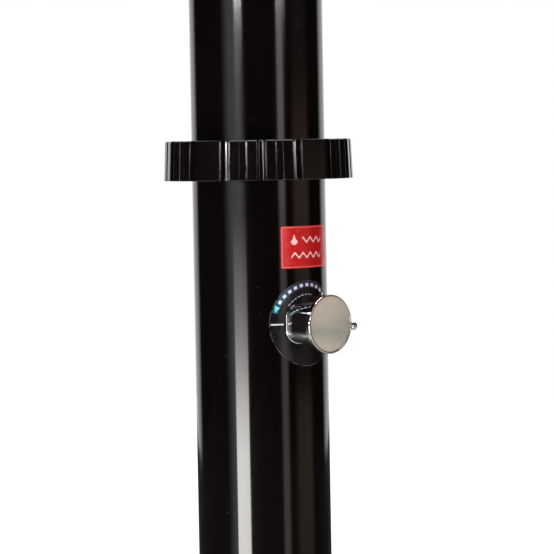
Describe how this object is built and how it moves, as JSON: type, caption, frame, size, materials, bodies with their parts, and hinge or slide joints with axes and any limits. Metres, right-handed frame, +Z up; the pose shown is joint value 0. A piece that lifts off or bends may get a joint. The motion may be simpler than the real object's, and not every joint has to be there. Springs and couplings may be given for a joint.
{
  "type": "outdoor shower post",
  "caption": "Tall free-standing outdoor shower post: a sun-warmed black water tube in two parts with a lobed union ring, a mixing tap with dial and a tilting rain head.",
  "frame": {"origin": "centre of the foot plate's underside, on the post's axis", "axes": "+Z up along the post's axis; the tap, dial and label face -Y; +X to the right of someone facing the tap"},
  "size_m": [0.22, 0.52, 2.111],
  "materials": {
    "tank_pvc": "extruded, glossy, sun-warmed black",
    "nut_plastic": "moulded, glossy black",
    "foot_plastic": "moulded, satin black",
    "pipe_plastic": "extruded, natural white",
    "chrome": "polished chrome plate",
    "satin_face": "satin nickel face",
    "steel": "turned stainless steel",
    "brass": "machined brass",
    "rubber": "soft seal rubber",
    "nozzle_rubber": "grey soft rubber",
    "label": "printed vinyl",
    "dial": "printed vinyl",
    "head_plastic": "chromed plastic"
  },
  "bodies": {
    "post": {"foot_plate": "foot_plastic", "foot_screws": "steel", "bottom_plug": "tank_pvc", "lower_tube": "tank_pvc", "lower_collar": "nut_plastic", "union_ring": "rubber", "upper_collar": "nut_plastic", "upper_tube": "tank_pvc", "top_cap": "nut_plastic", "heat_label": "label", "dial_sticker": "dial", "valve_body": "brass", "valve_outer_washer": "rubber", "valve_inner_gasket": "rubber", "valve_locknut": "brass", "tap_sleeve": "chrome", "sleeve_ring_nut": "brass", "riser_lower": "pipe_plastic", "hot_pipe_lower": "pipe_plastic", "riser_upper": "pipe_plastic", "hot_pipe_upper": "pipe_plastic", "fill_pipe": "pipe_plastic", "riser_coupling": "foot_plastic", "hot_coupling": "foot_plastic", "feed_pipe": "pipe_plastic", "pipe_clips": "foot_plastic", "inlet_nipple": "brass", "inlet_gasket": "rubber", "inlet_locknut": "brass", "inlet_elbow": "foot_plastic", "drain_boss": "rubber", "drain_plug": "nut_plastic", "shower_arm": "chrome", "arm_rose": "chrome", "arm_nut": "brass", "riser_elbow": "foot_plastic", "swivel_ball": "chrome"},
    "slip_ring": {"slip_ring": "pipe_plastic"},
    "union_nut": {"union_nut": "nut_plastic"},
    "knob": {"knob_disc": "chrome", "knob_face": "satin_face", "knob_screw": "steel", "lever_pin": "chrome", "valve_spindle": "steel"},
    "ball_seat": {"ball_seat": "rubber"},
    "head": {"head_body": "head_plastic", "collar_nut": "chrome", "spray_plate": "head_plastic", "nozzles": "nozzle_rubber"}
  },
  "joints": [
    {"name": "nut_lift", "type": "slide", "parent": "post", "child": "slip_ring", "axis": [0, 0, 1], "range_m": [0, 0.0202]},
    {"name": "nut_turn", "type": "hinge", "parent": "slip_ring", "child": "union_nut", "pos_m": [0, 0, 1.105], "axis": [0, 0, 1], "range_deg": [0, 1440]},
    {"name": "knob_turn", "type": "hinge", "parent": "post", "child": "knob", "pos_m": [0, -0.109, 0.923], "axis": [0, -1, 0], "range_deg": [0, 186]},
    {"name": "head_pitch", "type": "hinge", "parent": "post", "child": "ball_seat", "pos_m": [0, -0.33, 2.024], "axis": [1, 0, 0], "range_deg": [-15, 15]},
    {"name": "head_roll", "type": "hinge", "parent": "ball_seat", "child": "head", "pos_m": [0, -0.33, 2.024], "axis": [0, 1, 0], "range_deg": [-15, 15]}
  ],
  "couplings": [
    {"joint": "nut_lift", "follows": "nut_turn", "m_per_rad": 0.00079577}
  ]
}
